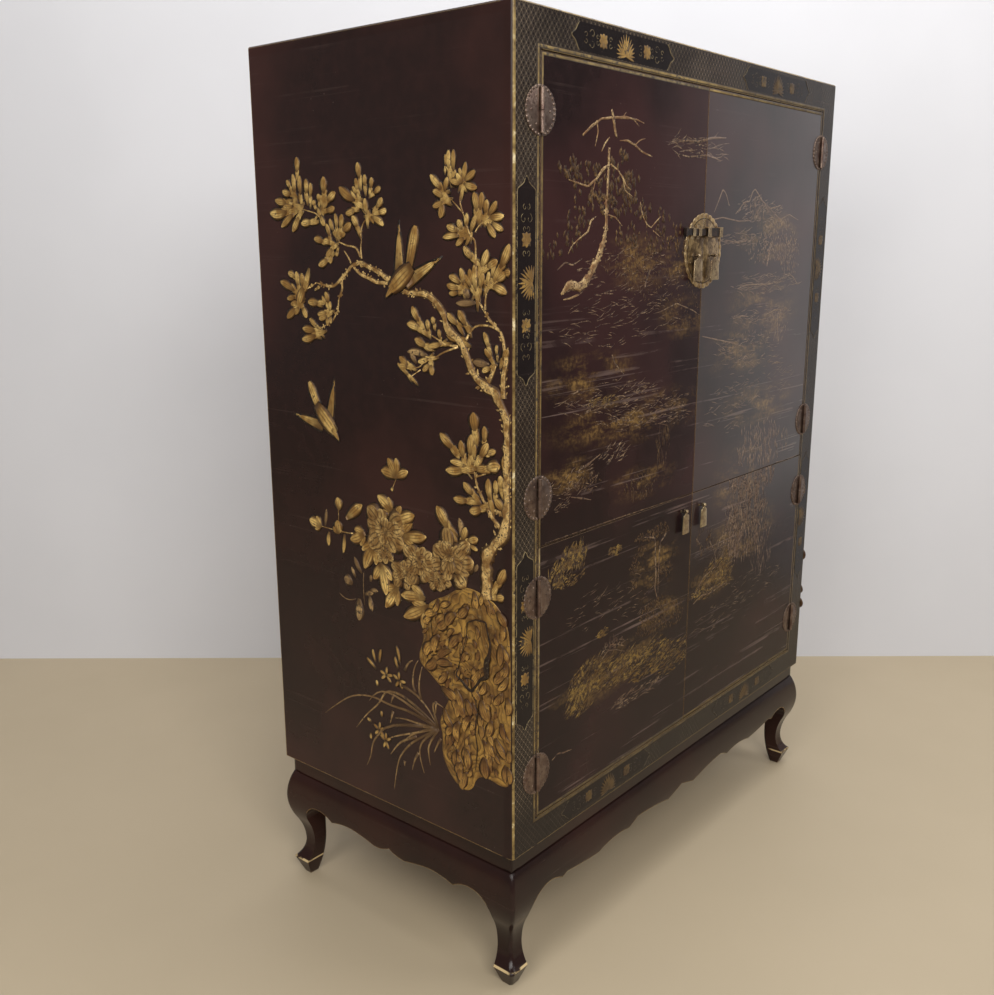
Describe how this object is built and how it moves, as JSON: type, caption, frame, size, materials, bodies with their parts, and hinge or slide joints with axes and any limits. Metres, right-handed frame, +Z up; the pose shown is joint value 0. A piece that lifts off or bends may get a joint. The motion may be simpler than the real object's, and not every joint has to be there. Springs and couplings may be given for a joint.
{
  "type": "cabinet on stand",
  "caption": "Tall lacquered cupboard with upper and lower pairs of flush doors, round plate hinges, a sliding bolt and hanging pulls, on a low stand with scalloped aprons and curved legs.",
  "frame": {"origin": "on the floor, under the middle of the whole object's box", "axes": "+Z up, X across the width, doors face -Y"},
  "size_m": [1.36, 0.7358, 1.94],
  "materials": {
    "case_lacquer": "aged black-brown lacquer with gilt borders",
    "door_lacquer": "aged aubergine lacquer with gilt landscape",
    "stand_lacquer": "glossy aubergine lacquer, worn at the edges",
    "inner_wood": "plain stained wood",
    "old_brass": "engraved brass, tarnished",
    "dark_iron": "dark oxidised iron"
  },
  "bodies": {
    "cabinet": {"apron_back": "stand_lacquer", "apron_front": "stand_lacquer", "apron_left": "stand_lacquer", "apron_right": "stand_lacquer", "back_panel": "inner_wood", "corner_blocks": "inner_wood", "door_stop_top": "inner_wood", "floor_board": "inner_wood", "frame_hinge_leaves_lower_left": "old_brass", "frame_hinge_leaves_lower_right": "old_brass", "frame_hinge_leaves_upper_left": "old_brass", "frame_hinge_leaves_upper_right": "old_brass", "front_rail_bottom": "case_lacquer", "front_rail_top": "case_lacquer", "front_stile_left": "case_lacquer", "front_stile_right": "case_lacquer", "hinge_pins": "old_brass", "leg_back_left": "stand_lacquer", "leg_back_right": "stand_lacquer", "leg_front_left": "stand_lacquer", "leg_front_right": "stand_lacquer", "lower_shelf": "inner_wood", "neck_rail_back": "stand_lacquer", "neck_rail_front": "stand_lacquer", "neck_rail_left": "stand_lacquer", "neck_rail_right": "stand_lacquer", "partition_board": "inner_wood", "shelf_bearers": "inner_wood", "side_panel_left": "case_lacquer", "side_panel_right": "case_lacquer", "top_board": "case_lacquer", "upper_shelf": "inner_wood"},
    "door_upper_left": {"door_leaf_upper_left": "door_lacquer", "door_hinge_leaves_upper_left": "old_brass", "staple_upper_left": "old_brass", "lock_plate_left": "old_brass", "bolt_guides": "old_brass"},
    "door_upper_right": {"door_leaf_upper_right": "door_lacquer", "door_hinge_leaves_upper_right": "old_brass", "staple_upper_right": "old_brass", "lock_plate_right": "old_brass", "bolt_receiver": "dark_iron", "receiver_straps": "old_brass"},
    "door_lower_left": {"door_leaf_lower_left": "door_lacquer", "door_hinge_leaves_lower_left": "old_brass", "staple_lower_left": "old_brass"},
    "door_lower_right": {"door_leaf_lower_right": "door_lacquer", "door_hinge_leaves_lower_right": "old_brass", "staple_lower_right": "old_brass"},
    "bolt": {"lock_bolt": "dark_iron"},
    "hanging_pull_upper_left": {"pull_upper_left": "old_brass"},
    "hanging_pull_upper_right": {"pull_upper_right": "old_brass"},
    "hanging_pull_lower_left": {"pull_lower_left": "old_brass"},
    "hanging_pull_lower_right": {"pull_lower_right": "old_brass"}
  },
  "joints": [
    {"name": "upper_left_door_hinge", "type": "hinge", "parent": "cabinet", "child": "door_upper_left", "pos_m": [-0.59925, -0.357, 1.41512], "axis": [0, 0, -1], "range_deg": [0, 170]},
    {"name": "upper_right_door_hinge", "type": "hinge", "parent": "cabinet", "child": "door_upper_right", "pos_m": [0.59925, -0.357, 1.41512], "axis": [0, 0, 1], "range_deg": [0, 170]},
    {"name": "lower_left_door_hinge", "type": "hinge", "parent": "cabinet", "child": "door_lower_left", "pos_m": [-0.59925, -0.357, 0.67288], "axis": [0, 0, -1], "range_deg": [0, 170]},
    {"name": "lower_right_door_hinge", "type": "hinge", "parent": "cabinet", "child": "door_lower_right", "pos_m": [0.59925, -0.357, 0.67288], "axis": [0, 0, 1], "range_deg": [0, 170]},
    {"name": "bolt_slide", "type": "slide", "parent": "door_upper_left", "child": "bolt", "axis": [1, 0, 0], "range_m": [0, 0.022]},
    {"name": "upper_left_pull_swing", "type": "hinge", "parent": "door_upper_left", "child": "hanging_pull_upper_left", "pos_m": [-0.038, -0.3636, 1.511], "axis": [-1, 0, 0], "range_deg": [-8, 160]},
    {"name": "upper_right_pull_swing", "type": "hinge", "parent": "door_upper_right", "child": "hanging_pull_upper_right", "pos_m": [0.038, -0.3636, 1.511], "axis": [-1, 0, 0], "range_deg": [-8, 160]},
    {"name": "lower_left_pull_swing", "type": "hinge", "parent": "door_lower_left", "child": "hanging_pull_lower_left", "pos_m": [-0.042, -0.3616, 0.928], "axis": [-1, 0, 0], "range_deg": [-8, 160]},
    {"name": "lower_right_pull_swing", "type": "hinge", "parent": "door_lower_right", "child": "hanging_pull_lower_right", "pos_m": [0.042, -0.3616, 0.928], "axis": [-1, 0, 0], "range_deg": [-8, 160]}
  ]
}
